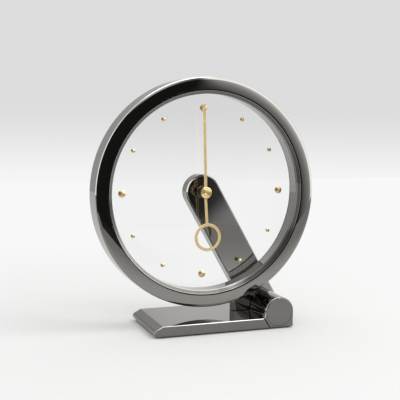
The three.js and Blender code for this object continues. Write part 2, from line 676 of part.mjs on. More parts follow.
const coverCuts = [rod(ARBOR_RADIUS + SEAT, coverFront - SEAT, armBack + SEAT, centreAt)]
  .concat(coverScrewPlaces.map(coverHole));
const coverBlock = common(armBlock, armSlice(coverFront, armBack + SEAT));
add(arm, 'arm_cover', cut(coverBlock, ...coverCuts), darkChrome);

// Screw driven from the back: its head stands on a seat, its tip points forward
function screw(place, seat, tip) {
  const headFront = seat + SEAT;
  const headBack = headFront + SCREW_HEAD;
  const profile = [[0, headBack], [SCREW_HEAD_RADIUS, headBack], [SCREW_HEAD_RADIUS, headFront],
    [SCREW_RADIUS, headFront], [SCREW_RADIUS, tip], [0, tip]];
  return lathe(profile, SMALL_ROUND, place);
}

coverScrewPlaces.forEach((place, i) => {
  add(arm, `cover_screw_${i + 1}`, screw(place, armBack, trayBack - SCREW_GRIP + SEAT), steel);
});
ringScrewPlaces.forEach((place, i) => {
  add(arm, `ring_screw_${i + 1}`, screw(place, trayFloor, ringScrewFront), steel);
});

// Movement plates: the front one carries the pillars for the back one
const rotorTail = rotorDrop + PLATE_TAIL;
const plateHalfWidth = trayHalfWidth - PLATE_SIDE;
const pillarPlaces = [-fourthDrop, -thirdDrop / 2]
  .flatMap((z) => [[-PILLAR_SIDE, z], [PILLAR_SIDE, z]]);

function plate(front, back) {
  const whole = slab(armShape(plateHalfWidth, rotorTail), front, back, 0, SMALL_ROUND);
  return common(whole, box(-armReach, armReach, front - SEAT, back + SEAT, -armReach, PLATE_TOP));
}

const pillar = (place) => rod(PILLAR_RADIUS, frontPlateBack - PIVOT_BITE, backPlateFront - SEAT, place);
const pivotHole = (place, front, back) => rod(PIVOT_RADIUS + SEAT, front - SEAT, back + SEAT, place);
const trainPlaces = [thirdAt, fourthAt, rotorAt];
add(arm, 'front_plate', cut(
  join(plate(frontPlateFront, frontPlateBack), ...pillarPlaces.map(pillar)),
  rod(pipeInner, frontPlateFront - SEAT, frontPlateBack + SEAT, centreAt),
  ...[motionAt, ...trainPlaces].map((place) => pivotHole(place, frontPlateFront, frontPlateBack)),
), brass);
add(arm, 'back_plate', cut(
  plate(backPlateFront, backPlateBack),
  rod(pipeInner, backPlateFront - SEAT, backPlateBack + SEAT, centreAt),
  ...trainPlaces.map((place) => pivotHole(place, backPlateFront, backPlateBack)),
), brass);

// Motion work: cannon pinion on the centre arbor, motion wheel, hour wheel on its pipe
const knobFront = armBack + SEAT;
const knobBack = knobFront + KNOB_HEIGHT;
add(arm, 'centre_arbor', join(
  rod(ARBOR_RADIUS, handCapFront + CAP_DOME + SEAT, knobBack - KNOB_END - SEAT, centreAt),
  gear(CANNON_TEETH, motionWheelFront, centreAt, { towards: motionAt }),
), steel);
add(arm, 'motion_wheel', join(
  rod(PIVOT_RADIUS, trayFloor - PIVOT_BITE, frontPlateFront + PIVOT_BITE, motionAt),
  gear(MOTION_TEETH, motionWheelFront, motionAt, { towards: centreAt, gap: true }),
  gear(MOTION_PINION_TEETH, hourWheelFront, motionAt,
    { towards: centreAt, back: motionWheelFront + WHEEL_THICKNESS / 2 }),
), brass);
const hourPipeFront = hourHandFront - SEAT;
add(arm, 'hour_wheel', cut(
  join(gear(HOUR_TEETH, hourWheelFront, centreAt, { towards: motionAt, gap: true }),
    rod(pipeOuter, hourPipeFront, hourWheelFront + WHEEL_THICKNESS / 2, centreAt)),
  rod(pipeInner, hourPipeFront - SEAT, hourWheelFront + WHEEL_THICKNESS + SEAT, centreAt),
), brass);

// Going train between the plates: centre, third and fourth wheels and the motor's rotor
const trainArbor = (place) => rod(PIVOT_RADIUS, frontPlateBack - PIVOT_BITE, stackBack, place);
add(arm, 'centre_wheel', cut(
  gear(CENTRE_TEETH, centreWheelFront, centreAt, { towards: thirdAt }),
  rod(ARBOR_RADIUS + PRESS, centreWheelFront - SEAT, centreWheelFront + WHEEL_THICKNESS + SEAT, centreAt),
), brass);
add(arm, 'third_wheel', join(
  trainArbor(thirdAt),
  gear(THIRD_PINION_TEETH, centreWheelFront, thirdAt,
    { towards: centreAt, gap: true, back: thirdWheelFront + WHEEL_THICKNESS / 2 }),
  gear(THIRD_TEETH, thirdWheelFront, thirdAt, { towards: fourthAt }),
), brass);
add(arm, 'fourth_wheel', join(
  trainArbor(fourthAt),
  gear(FOURTH_PINION_TEETH, thirdWheelFront, fourthAt,
    { towards: thirdAt, gap: true, back: fourthWheelFront + WHEEL_THICKNESS / 2 }),
  gear(FOURTH_TEETH, fourthWheelFront, fourthAt, { towards: rotorAt }),
), brass);
const rotorFront = frontPlateBack + LAYER;
add(arm, 'rotor', join(
  trainArbor(rotorAt),
  rod(ROTOR_RADIUS, rotorFront, rotorFront + ROTOR_HEIGHT, rotorAt, MEDIUM_ROUND),
  gear(ROTOR_PINION_TEETH, fourthWheelFront, rotorAt, { towards: fourthAt, gap: true }),
), steel);

// Motor: stator with two legs, and the coil on its core across them
const statorBack = rotorFront + STATOR_THICKNESS;
const legInner = STATOR_HALF_WIDTH - STATOR_LEG;
const statorRoot = rotorDrop + STATOR_HEAD;
const stator = cut(
  box(-STATOR_HALF_WIDTH, STATOR_HALF_WIDTH, rotorFront, statorBack,
    -statorEnd, -rotorDrop + STATOR_HEAD),
  box(-legInner, legInner, rotorFront - SEAT, statorBack + SEAT, -statorEnd - SEAT, -statorRoot),
  rod(ROTOR_RADIUS + LAYER, rotorFront - SEAT, statorBack + SEAT, rotorAt, MEDIUM_ROUND),
);
add(arm, 'stator', stator, steel);
const coreFront = statorBack + SEAT;
const coreBack = coreFront + CORE_THICKNESS;
const coreDrop = statorEnd - STATOR_LEG;
const core = (grow) => box(-STATOR_HALF_WIDTH - grow, STATOR_HALF_WIDTH + grow, coreFront - grow,
  coreBack + grow, -statorEnd - grow, -coreDrop + grow);
add(arm, 'coil_core', core(0), steel);
const winding = new THREE.CylinderGeometry(COIL_RADIUS, COIL_RADIUS, COIL_LENGTH, MEDIUM_ROUND)
  .rotateZ(Math.PI / 2)
  .translate(0, (coreFront + coreBack) / 2, -(statorEnd + coreDrop) / 2);
add(arm, 'coil_winding', cut(winding, core(SEAT)), copper);

// Quartz oscillator on its board
const boardBack = boardFront + BOARD_THICKNESS;
const chipFront = boardBack + SEAT;
const chipTop = boardTop + BOARD_GAP;
add(arm, 'circuit_board', box(-STATOR_HALF_WIDTH, STATOR_HALF_WIDTH, boardFront, boardBack,
  -boardEnd, -boardTop), greenBoard);
add(arm, 'ic_chip', box(-CHIP_SIZE / 2, CHIP_SIZE / 2, chipFront, chipFront + CHIP_HEIGHT,
  -chipTop - CHIP_SIZE, -chipTop), blackPlastic);
const crystal = new THREE.CylinderGeometry(CRYSTAL_RADIUS, CRYSTAL_RADIUS, CRYSTAL_LENGTH, SMALL_ROUND)
  .rotateZ(Math.PI / 2)
  .translate(0, chipFront + CRYSTAL_RADIUS, -chipTop - CHIP_SIZE - BOARD_GAP);
add(arm, 'quartz_crystal', crystal, steel);

// Set knob on the rear end of the centre arbor
function knobShape() {
  const points = [];
  for (let i = 0; i < 2 * KNOB_FLUTES; i += 1) {
    const angle = (i * Math.PI) / KNOB_FLUTES;
    const radius = KNOB_RADIUS - (i % 2) * KNOB_FLUTE_DEPTH;
    points.push([radius * Math.cos(angle), radius * Math.sin(angle)]);
  }
  return polygon(points);
}

add(arm, 'set_knob', cut(
  slab(knobShape(), knobFront, knobBack),
  rod(ARBOR_RADIUS + PRESS, knobFront - SEAT, knobBack - KNOB_END, centreAt),
), blackPlastic);

export default clock;
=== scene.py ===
import functools
import json
import math

import bmesh
import bpy
from mathutils import Matrix, Vector


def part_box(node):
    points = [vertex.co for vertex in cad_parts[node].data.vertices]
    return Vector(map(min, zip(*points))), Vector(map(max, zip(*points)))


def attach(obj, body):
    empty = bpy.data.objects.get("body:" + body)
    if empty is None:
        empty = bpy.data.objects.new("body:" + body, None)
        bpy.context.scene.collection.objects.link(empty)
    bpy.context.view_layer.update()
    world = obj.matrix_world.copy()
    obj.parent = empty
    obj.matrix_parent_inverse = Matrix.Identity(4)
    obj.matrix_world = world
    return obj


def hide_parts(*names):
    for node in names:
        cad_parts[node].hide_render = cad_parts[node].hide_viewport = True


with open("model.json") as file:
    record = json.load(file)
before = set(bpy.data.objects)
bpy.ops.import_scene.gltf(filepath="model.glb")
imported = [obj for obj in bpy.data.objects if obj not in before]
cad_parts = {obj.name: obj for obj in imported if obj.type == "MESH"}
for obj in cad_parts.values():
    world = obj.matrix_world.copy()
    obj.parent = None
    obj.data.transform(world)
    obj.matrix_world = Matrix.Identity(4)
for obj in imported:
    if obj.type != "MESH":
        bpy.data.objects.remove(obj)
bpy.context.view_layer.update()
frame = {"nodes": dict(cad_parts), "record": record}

MM = 0.001
TINY = 1e-6

# Fits and edges
SEAT = 0.3 * MM              # between a piece and what carries or locates it
PRESS = 0.1 * MM             # radial, where a hub grips its pipe or arbor
SOFT_EDGE = 0.12 * MM        # rounding of a polished edge
PLATE_BEVEL = 0.5 * MM       # base plate and barrel
SHARP = math.radians(20)     # edges steeper than this stay sharp

# Facets around a full circle
ROUND = 256
FINE_ROUND = 96
SMALL_ROUND = 48

# Case ring and glasses
BACK_EDGE = 0.5 * MM         # chamfer of the ring's back edge
FRONT_EDGE_WIDTH = 1.6 * MM  # chamfer of its front edge, across the face
FRONT_EDGE_DEPTH = 0.8 * MM
EDGE_LINE_WIDTH = 0.5 * MM   # steep outer part of that chamfer
EDGE_LINE_DEPTH = 0.55 * MM
RING_TAPER = 0.4 * MM        # the rim is this much smaller in front than at the back
FACE_FALL = 0.4 * MM         # how far the face curves back towards its outer edge
FACE_STEPS = 14
GLASS_SEAT_DEPTH = 4.4 * MM  # ring face to the front glass shoulder
INNER_EDGE_WIDTH = 1.05 * MM  # chamfer from that shoulder to the ring's inner wall
INNER_EDGE_DEPTH = 0.65 * MM
DIAL_LEDGE = 1.8 * MM        # radial width of the dial glass shoulder
RETAINER_LIP = 0.4 * MM
RETAINER_WIDTH = 3.2 * MM
RETAINER_BANDS = 4
RETAINER_GROOVE = 0.2 * MM   # half width of the lines between its bands
RETAINER_GROOVE_DEPTH = 0.4 * MM
SEAM_WIDTH = 1 * MM          # slot between ring and retainer
SEAM_DEPTH = 1.7 * MM
DIAL_RETAINER_WIDTH = 0.6 * MM
GLASS_EDGE = 0.2 * MM

# Base and barrel
BASE_LEFT = 42 * MM          # dial axis to the edge where the left slope starts
NOSE_RADIUS = 2.8 * MM
NOSE_STEPS = 24
FOOT_TAPER = 5 * MM          # how far the foot's left face leans in below its top edge
CELL_GAP = 0.4 * MM          # around the cell in the barrel
SLEEVE_WALL = 1.6 * MM
CAP_FLOOR = 1.5 * MM         # closed end of the battery cap
CAP_EDGE = 0.8 * MM
PAD_CORNER = 3 * MM
REST_WIDTH = 13.2 * MM

# Hands, markers and hub
DOME_STEPS = 8
MARKER_DOME = 0.5 * MM
HAND_CAP_DOME = 0.3 * MM
# Turned face of the hub cap: share of its radius, share of the dome's height below the front
HAND_CAP_FACE = ((0, 0.5), (0.26, 0.5), (0.32, 0), (0.58, 0), (0.63, 0.55), (0.68, 0.55), (0.74, 0.1),
                 (0.86, 0.1), (1, 1))
HAND_BEVEL = 0.15 * MM
MINUTE_ANGLE = math.radians(-1.8)   # from twelve, clockwise
MINUTE_WIDTH = 2.3 * MM
HOUR_ANGLE = math.radians(176)
HOUR_WIDTH = 2.1 * MM
HOUR_RING_OUTER = 10.7 * MM
HOUR_RING_INNER = 8.5 * MM
HUB_RADIUS = 3.4 * MM
ARBOR_RADIUS = 0.8 * MM
PIPE_RADIUS = 1.8 * MM       # of the hour wheel
BUSH_INNER = 2.1 * MM
BUSH_OUTER = 3.8 * MM
BUSH_FLANGE = 0.8 * MM
BUSH_FLANGE_HEIGHT = 0.9 * MM

# Slanted arm
ARM_SIDE = 1.4 * MM          # arm's centre line to the right of the dial and barrel axes
ARM_DROP = 1.6 * MM          # centre of the arm's round top below the dial axis
ARM_BEVEL = 1 * MM
ARM_WALL = 1.4 * MM
EYE_WALL = 3.4 * MM          # solid arm beyond the barrel's sleeve
SCREW_RADIUS = 1 * MM
SCREW_HEAD = 0.9 * MM        # height of its head
SCREW_HEAD_EDGE = 0.3 * MM
SCREW_SLOT_WIDTH = 0.5 * MM
SCREW_SLOT_DEPTH = 0.5 * MM
SCREW_SLOT_REACH = 0.6       # share of the head's radius
SCREW_HOLE_DEPTH = 4.5 * MM  # in the tray's bosses
BOSS_RADIUS = 2.2 * MM       # for the cover's screws
PILLAR_RADIUS = 1.2 * MM     # bosses for the movement's plate and the circuit board
PILLAR_SIDE = 8.2 * MM
PLATE_BOSS_RISE = 4.2 * MM   # upper plate bosses above the dial axis
BOARD_GAP = 3.4 * MM         # from the screws to the board, and from its ends to its bosses
PIVOT_RADIUS = 0.5 * MM
PIVOT_BITE = 0.6 * MM        # how far a pivot reaches into the tray's floor
KNOB_FLUTES = 20
KNOB_FLUTE_STEPS = 12
KNOB_FLUTE_DEPTH = 0.5 * MM
KNOB_EDGE = 0.5 * MM
KNOB_END = 0.5 * MM          # closed end of the knob's bore

# Camera, solved from the photograph
CAMERA_PLACE = Vector((-227.9, -609.3, 168.6)) * MM
CAMERA_AZIMUTH = math.radians(-20.22)
CAMERA_ELEVATION = math.radians(6.25)
CAMERA_ROLL = math.radians(0.59)
CAMERA_SENSOR = 36           # width and focal length in millimetres
CAMERA_LENS = 77.0
CAMERA_CLIP = 10 * MM


# Places read from the frame
X, Y, Z = 0, 1, 2


def span(node, axis):
    low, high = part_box(node)
    return low[axis], high[axis]


def middle(node, axis):
    low, high = span(node, axis)
    return (low + high) / 2


def half_width(node):
    low, high = span(node, X)
    return (high - low) / 2


def axis_of(node):
    return (middle(node, X), middle(node, Z))


DIAL = axis_of("case_ring")
ring_radius = half_width("case_ring")
ring_face, ring_back = span("case_ring", Y)
glass_radius = half_width("front_glass")
ring_recess = glass_radius + SEAT
dial_recess = half_width("dial_glass") + SEAT
ring_inner = dial_recess - DIAL_LEDGE
dial_shoulder = span("dial_glass", Y)[0] - SEAT

BARREL = axis_of("battery_cap")
barrel_radius = half_width("battery_cap")
base_front, base_back = span("base_plate", Y)
base_bottom, base_top = span("base_plate", Z)
bore_radius = half_width("battery") + CELL_GAP
sleeve_radius = bore_radius + SLEEVE_WALL
eye_radius = sleeve_radius + SEAT

arm_axis = Vector((BARREL[0] - DIAL[0], BARREL[1] - DIAL[1]))
arm_length = arm_axis.length
arm_lean = math.atan2(arm_axis.x, -arm_axis.y)
arm_front, tray_back = span("arm_housing", Y)
cover_front, arm_back = span("arm_cover", Y)
arm_turn = Matrix.Rotation(arm_lean, 2)
arm_top = Vector(DIAL) + arm_turn @ Vector((ARM_SIDE, -ARM_DROP))
arm_end = Vector(BARREL) + arm_turn @ Vector((ARM_SIDE, 0))
arm_half_width = span("arm_housing", Z)[1] - arm_top.y
tray_floor = arm_front + ARM_WALL

subparts = frame["record"]["subparts"]
slot_of = {entry["node"]: entry["material_slot"] for entry in subparts}
bodies = frame["record"]["behaviour"]["bodies"]
body_of = {node: body for body, nodes in bodies.items() for node in nodes}
joints = {entry["name"]: entry for entry in frame["record"]["behaviour"]["joints"]}

MARKERS = [f"marker_{hour:02d}" for hour in range(1, 13)]
BASE_SCREWS = [f"base_screw_{k}" for k in range(1, 5)]
RING_SCREWS = ("ring_screw_1", "ring_screw_2")
COVER_SCREWS = ("cover_screw_1", "cover_screw_2", "cover_screw_3")


# Outlines in the x-z plane
def arc(centre, radius, start, end, steps):
    points = []
    for step in range(steps + 1):
        angle = start + (end - start) * step / steps
        points.append((centre[0] + radius * math.cos(angle), centre[1] + radius * math.sin(angle)))
    return points


def circle(centre, radius, steps=FINE_ROUND):
    return arc(centre, radius, 0, math.tau, steps)[:-1]


def rectangle(left, right, low, high):
    return [(left, low), (right, low), (right, high), (left, high)]


def area(outline):
    pairs = zip(outline, outline[1:] + outline[:1])
    return sum(a[0] * b[1] - b[0] * a[1] for a, b in pairs) / 2


def inset(outline, distance):
    """The outline moved inwards, edge by edge, by a distance."""
    points = [Vector(point) for point in outline]
    side = math.copysign(1, area(outline))
    moved = []
    for before, here, after in zip(points[-1:] + points[:-1], points, points[1:] + points[:1]):
        first = (here - before).normalized().orthogonal() * side
        second = (after - here).normalized().orthogonal() * side
        moved.append(tuple(here + (first + second) * distance / (1 + first.dot(second))))
    return moved


# Meshes
def new_piece(name, mesh):
    bmesh.ops.recalc_face_normals(mesh, faces=mesh.faces)
    data = bpy.data.meshes.new(name)
    mesh.to_mesh(data)
    mesh.free()
    piece = bpy.data.objects.new(name, data)
    bpy.context.scene.collection.objects.link(piece)
    return piece


def bridge(mesh, first, second):
    """Faces between two rings of vertices; a ring of one vertex is a tip."""
    count = max(len(first), len(second))
    for k in range(count):
        corners = [first[k % len(first)], first[(k + 1) % len(first)],
                   second[(k + 1) % len(second)], second[k % len(second)]]
        mesh.faces.new(list(dict.fromkeys(corners)))


def lathe(name, profile, axis=DIAL, steps=ROUND):
    """A solid turned about an axis along y. The profile holds (radius, y) points; it starts and ends
    on the axis, or it is closed."""
    mesh = bmesh.new()
    rings = []
    for radius, y in profile:
        points = circle(axis, radius, steps) if radius > TINY else [axis]
        rings.append([mesh.verts.new((x, y, z)) for x, z in points])
    for first, second in zip(rings, rings[1:]):
        bridge(mesh, first, second)
    if len(rings[0]) > 1:
        bridge(mesh, rings[-1], rings[0])
    return new_piece(name, mesh)


def prism(name, outline, front, back, front_bevel=0, back_bevel=0):
    """A slab between two y values, chamfered at either end."""
    layers = [(front, inset(outline, front_bevel))]
    if front_bevel:
        layers.append((front + front_bevel, outline))
    if back_bevel:
        layers.append((back - back_bevel, outline))
    layers.append((back, inset(outline, back_bevel)))
    mesh = bmesh.new()
    rings = [[mesh.verts.new((x, y, z)) for x, z in points] for y, points in layers]
    for first, second in zip(rings, rings[1:]):
        bridge(mesh, first, second)
    mesh.faces.new(rings[0])
    mesh.faces.new(rings[-1])
    return new_piece(name, mesh)


def rod(radius, front, back, axis):
    return lathe("tool", [(0, front), (radius, front), (radius, back), (0, back)], axis, FINE_ROUND)


def block(node, gap):
    """A cutting box around a node, larger by a gap on each side."""
    low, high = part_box(node)
    outline = rectangle(low[X] - gap, high[X] + gap, low[Z] - gap, high[Z] + gap)
    return prism("tool", outline, low[Y] - gap, high[Y] + gap)


def settle(piece):
    """Turns the piece's modifiers into its mesh."""
    depsgraph = bpy.context.evaluated_depsgraph_get()
    data = bpy.data.meshes.new_from_object(piece.evaluated_get(depsgraph))
    piece.modifiers.clear()
    piece.data = data


def combine(piece, operation, tools):
    for tool in tools:
        modifier = piece.modifiers.new(operation, "BOOLEAN")
        modifier.operation = operation
        modifier.solver = "EXACT"
        modifier.object = tool
        settle(piece)
        bpy.data.objects.remove(tool)
    return piece


def cut(piece, *tools):
    return combine(piece, "DIFFERENCE", tools)


def join(piece, *tools):
    return combine(piece, "UNION", tools)


def soften(piece, width=SOFT_EDGE):
    """Rounds the sharp edges a little, as polishing does."""
    modifier = piece.modifiers.new("soft edge", "BEVEL")
    modifier.width = width
    modifier.segments = 2
    modifier.limit_method = "ANGLE"
    modifier.angle_limit = SHARP
    modifier.use_clamp_overlap = True
    settle(piece)
    return piece


def smooth(piece):
    """Even shading: flat faces stay flat, and only steep edges stay sharp."""
    piece.data.shade_smooth()
    piece.data.set_sharp_from_angle(angle=SHARP)
    modifier = piece.modifiers.new("even shading", "WEIGHTED_NORMAL")
    modifier.keep_sharp = True


# Materials
class Graph:
    """Adds nodes to a node tree, with their settings and links in one call."""

    def __init__(self, tree):
        self.tree = tree
        tree.nodes.clear()

    def add(self, kind, inputs=None, **settings):
        node = self.tree.nodes.new("ShaderNode" + kind)
        for name, value in settings.items():
            setattr(node, name, value)
        for name, value in (inputs or {}).items():
            if isinstance(value, bpy.types.NodeSocket):
                self.tree.links.new(value, node.inputs[name])
            else:
                node.inputs[name].default_value = value
        return node

    def math(self, operation, first, second=0.0):
        return self.add("Math", {0: first, 1: second}, operation=operation).outputs[0]

    def plus(self, *values):
        return functools.reduce(lambda first, second: self.math("ADD", first, second), values)

    def times(self, *values):
        return functools.reduce(lambda first, second: self.math("MULTIPLY", first, second), values)

    def spread(self, value, low, high, start=0.0, end=1.0):
        """Maps a value between start and end smoothly to low and high."""
        node = self.add("MapRange", {"Value": value, "From Min": start, "From Max": end,
                                     "To Min": low, "To Max": high}, interpolation_type="SMOOTHSTEP")
        return node.outputs["Result"]

    def blend(self, factor, first, second):
        node = self.add("Mix", {"Factor": factor, "A": first, "B": second}, data_type="RGBA")
        return node.outputs[2]


def graph_of(name):
    material = bpy.data.materials.new(name)
    material.use_nodes = True
    return material, Graph(material.node_tree)


def grain(graph, size, stretch=(1, 1, 1), detail=3.0):
    """Noise with spots of a given size in metres, drawn out along the stretched axes."""
    place = graph.add("TexCoord").outputs["Object"]
    scaled = graph.add("Mapping", {"Vector": place, "Scale": stretch}).outputs["Vector"]
    noise = graph.add("TexNoise", {"Vector": scaled, "Scale": 1 / size, "Detail": detail})
    return noise.outputs["Fac"]


def relief(graph, height, depth):
    bump = graph.add("Bump", {"Height": height, "Distance": depth, "Strength": 1.0})
    return bump.outputs["Normal"]


def shader(graph, inputs):
    surface = graph.add("BsdfPrincipled", inputs).outputs["BSDF"]
    graph.add("OutputMaterial", {"Surface": surface})


def rgb(red, green, blue):
    return (red, green, blue, 1.0)


def grey(level):
    return rgb(level, level, level)


# Painted shade: polished metal turns near black where other walls are near, as in seams and crevices
SEAM_REACH = 1.5 * MM        # walls nearer than this paint shade into a seam
SEAM_SHADE = (0.3, 0.75)     # openness of a fully shaded and of an unshaded surface
PAINTED_SEAM_SHADE = grey(0.004)
# Painted sheen of turned gold: sectors of paint stand in for the highlights of its turned lines
SECTOR_TURN = math.radians(-20)
SECTOR_SHADE = (-1.0, 0.1)   # sector values of the darkest painted shade and of the fully lit metal


def polished(name, colour, worn, roughness, rough_spots):
    """Polished or plated metal with faint cloudiness, and painted shade in narrow seams and crevices."""
    material, graph = graph_of(name)
    clouds = grain(graph, 14 * MM)
    haze = grain(graph, 3 * MM, detail=6.0)
    # painted shade: the colour goes near black where the ambient occlusion finds walls close by
    openness = graph.add("AmbientOcclusion", {"Distance": SEAM_REACH}, samples=8).outputs["AO"]
    open_share = graph.spread(openness, 0.0, 1.0, *SEAM_SHADE)
    shader(graph, {
        "Base Color": graph.blend(open_share, PAINTED_SEAM_SHADE, graph.blend(clouds, colour, worn)),
        "Metallic": 1.0,
        "Roughness": graph.spread(haze, roughness, rough_spots, 0.35, 0.75),
    })
    return material


def turned_with_painted_sheen(name, colour, shade, roughness, rough_spots):
    """Plated stud or cap, turned on its face, with a painted sheen: paler and darker sectors about its
    axis along y stand in for its highlights.
    """
    material, graph = graph_of(name)
    axes = graph.add("SeparateXYZ", {0: graph.add("TexCoord").outputs["Generated"]}).outputs
    across = graph.math("SUBTRACT", axes["X"], 0.5)
    upwards = graph.math("SUBTRACT", axes["Z"], 0.5)
    angle = graph.math("ADD", graph.math("ARCTAN2", across, upwards), SECTOR_TURN)
    sectors = graph.math("COSINE", graph.math("MULTIPLY", angle, 2.0))
    haze = grain(graph, 0.8 * MM, detail=5.0)
    shader(graph, {
        "Base Color": graph.blend(graph.spread(sectors, 0.0, 1.0, *SECTOR_SHADE), shade, colour),
        "Metallic": 1.0,
        "Roughness": graph.spread(haze, roughness, rough_spots, 0.35, 0.7),
    })
    return material


def brushed(name, colour, worn, roughness, rough_spots):
    """Machined metal with fine lines along x."""
    material, graph = graph_of(name)
    lines = grain(graph, 0.4 * MM, stretch=(0.05, 1, 1), detail=4.0)
    stains = grain(graph, 6 * MM)
    shader(graph, {
        "Base Color": graph.blend(stains, colour, worn),
        "Metallic": 1.0,
        "Roughness": graph.spread(lines, roughness, rough_spots, 0.3, 0.7),
        "Normal": relief(graph, lines, 0.004 * MM),
    })
    return material


def moulded(name, colour, worn, roughness, rough_spots, pit, gloss=0.5):
    """Plastic or rubber with a fine pitted skin."""
    material, graph = graph_of(name)
    pits = grain(graph, 0.5 * MM, detail=2.0)
    patches = grain(graph, 9 * MM)
    shader(graph, {
        "Base Color": graph.blend(patches, colour, worn),
        "Roughness": graph.spread(pits, roughness, rough_spots, 0.3, 0.7),
        "Specular IOR Level": gloss,
        "Normal": relief(graph, pits, pit),
    })
    return material


def clear_glass(name):
    """Flat clear glass with a trace of green and of cleaning haze."""
    material, graph = graph_of(name)
    haze = grain(graph, 25 * MM, detail=5.0)
    shader(graph, {
        "Base Color": graph.blend(haze, rgb(0.996, 0.998, 0.997), rgb(0.99, 0.994, 0.992)),
        "Roughness": 0.0,
        "IOR": 1.3,
        "Transmission Weight": 1.0,
    })
    return material


def wound_wire(name):
    """Enamelled wire in close turns along x."""
    material, graph = graph_of(name)
    place = graph.add("TexCoord").outputs["Object"]
    turns = graph.add("TexWave", {"Vector": place, "Scale": 1 / (0.9 * MM), "Distortion": 0.4},
                      wave_type="BANDS", bands_direction="X").outputs["Fac"]
    shader(graph, {
        "Base Color": graph.blend(turns, rgb(0.22, 0.08, 0.03), rgb(0.52, 0.22, 0.09)),
        "Metallic": 0.8,
        "Roughness": graph.spread(turns, 0.5, 0.3),
        "Normal": relief(graph, turns, 0.05 * MM),
    })
    return material


def coated_board(name):
    """Circuit board: green coat over paler tracks."""
    material, graph = graph_of(name)
    place = graph.add("TexCoord").outputs["Object"]
    cells = graph.add("TexVoronoi", {"Vector": place, "Scale": 1 / (2.2 * MM)},
                      feature="DISTANCE_TO_EDGE", distance="CHEBYCHEV").outputs["Distance"]
    tracks = graph.spread(cells, 1.0, 0.0, 0.04, 0.1)
    shader(graph, {
        "Base Color": graph.blend(tracks, rgb(0.018, 0.09, 0.035), rgb(0.06, 0.2, 0.07)),
        "Roughness": graph.spread(grain(graph, 1.5 * MM), 0.3, 0.5),
        "Normal": relief(graph, tracks, 0.03 * MM),
    })
    return material


materials = {
    "dark_chrome": polished("dark_chrome", rgb(0.30, 0.288, 0.272), rgb(0.27, 0.26, 0.247), 0.025, 0.05),
    "gold": polished("gold", rgb(0.80, 0.60, 0.29), rgb(0.72, 0.52, 0.24), 0.16, 0.26),
    "clear_glass": clear_glass("clear_glass"),
    "steel": brushed("steel", rgb(0.42, 0.43, 0.44), rgb(0.34, 0.35, 0.36), 0.22, 0.4),
    "brass": brushed("brass", rgb(0.62, 0.43, 0.16), rgb(0.5, 0.34, 0.13), 0.22, 0.38),
    "rubber": moulded("rubber", grey(0.006), grey(0.01), 0.75, 0.92, 0.05 * MM, gloss=0.1),
    "black_plastic": moulded("black_plastic", rgb(0.012, 0.012, 0.013), rgb(0.018, 0.018, 0.02),
                             0.4, 0.58, 0.02 * MM),
    "green_board": coated_board("green_board"),
    "copper": wound_wire("copper"),
    "cell_jacket": moulded("cell_jacket", rgb(0.025, 0.042, 0.09), rgb(0.02, 0.034, 0.075),
                           0.25, 0.4, 0.006 * MM),
}

# painted shade: a darker copy of dark_chrome for the base pieces, standing in for the dimmer surroundings
# they mirror
shaded_chrome = polished("shaded_chrome", rgb(0.205, 0.196, 0.186), rgb(0.185, 0.177, 0.168), 0.025, 0.05)
# gold whose colour carries a painted sheen in paler and darker sectors
gold_with_painted_sheen = turned_with_painted_sheen("gold_with_painted_sheen", rgb(0.88, 0.69, 0.37), rgb(0.5, 0.34, 0.14), 0.36, 0.48)
satin_gold = polished("satin_gold", rgb(0.84, 0.66, 0.34), rgb(0.78, 0.6, 0.3), 0.42, 0.52)

for name, node in frame["nodes"].items():
    for slot in node.material_slots:
        slot.material = materials[slot_of[name]]


def stand_for(piece, node, finish=None):
    """The piece takes a CAD node's place, on the same body, with the finish given or else the node's own.
    """
    piece.name = node + ".form"
    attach(piece, body_of[node])
    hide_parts(node)
    piece.data.materials.clear()
    piece.data.materials.append(finish or materials[slot_of[node]])
    smooth(piece)


# Case ring: the face curves back outwards, and two stepped seats hold the glasses
def case_ring():
    rim_front = ring_radius - RING_TAPER
    face_width = rim_front - FRONT_EDGE_WIDTH - ring_recess
    profile = []
    for step in range(FACE_STEPS + 1):
        share = step / FACE_STEPS
        profile.append((ring_recess + share * face_width, ring_face + share * share * FACE_FALL))
    glass_shoulder = ring_face + GLASS_SEAT_DEPTH
    edge_back = ring_face + FACE_FALL + FRONT_EDGE_DEPTH
    profile += [
        (rim_front - EDGE_LINE_WIDTH, edge_back - EDGE_LINE_DEPTH),
        (rim_front, edge_back),
        (ring_radius, ring_back - BACK_EDGE),
        (ring_radius - BACK_EDGE, ring_back),
        (dial_recess, ring_back),
        (dial_recess, dial_shoulder),
        (ring_inner, dial_shoulder),
        (ring_inner, glass_shoulder + INNER_EDGE_DEPTH),
        (ring_inner + INNER_EDGE_WIDTH, glass_shoulder),
        (ring_recess, glass_shoulder),
    ]
    ring = lathe("ring", profile)
    for screw in RING_SCREWS:
        cut(ring, rod(SCREW_RADIUS + SEAT, span(screw, Y)[0] - SEAT, ring_back + SEAT, axis_of(screw)))
    return soften(ring)


# Glass retainer: a cone with fine turned lines, behind a narrow slot at the ring's face
def glass_retainer():
    front, back = span("glass_retainer", Y)
    lip = Vector((glass_radius - RETAINER_LIP, front))
    foot = Vector((glass_radius - RETAINER_WIDTH, back))
    top = lip.lerp(foot, (lip.x - ring_recess + SEAM_WIDTH) / (lip.x - foot.x))
    along = (foot - top).normalized()
    inwards = Vector((-along.y, along.x)) * RETAINER_GROOVE_DEPTH
    along *= RETAINER_GROOVE
    profile = [(glass_radius, back), (glass_radius, front + SEAM_DEPTH), (top.x, front + SEAM_DEPTH),
               tuple(top)]
    for band in range(1, RETAINER_BANDS):
        line = top.lerp(foot, band / RETAINER_BANDS)
        profile += [tuple(line - along), tuple(line - inwards), tuple(line + along)]
    profile.append(tuple(foot))
    return lathe("retainer", profile)


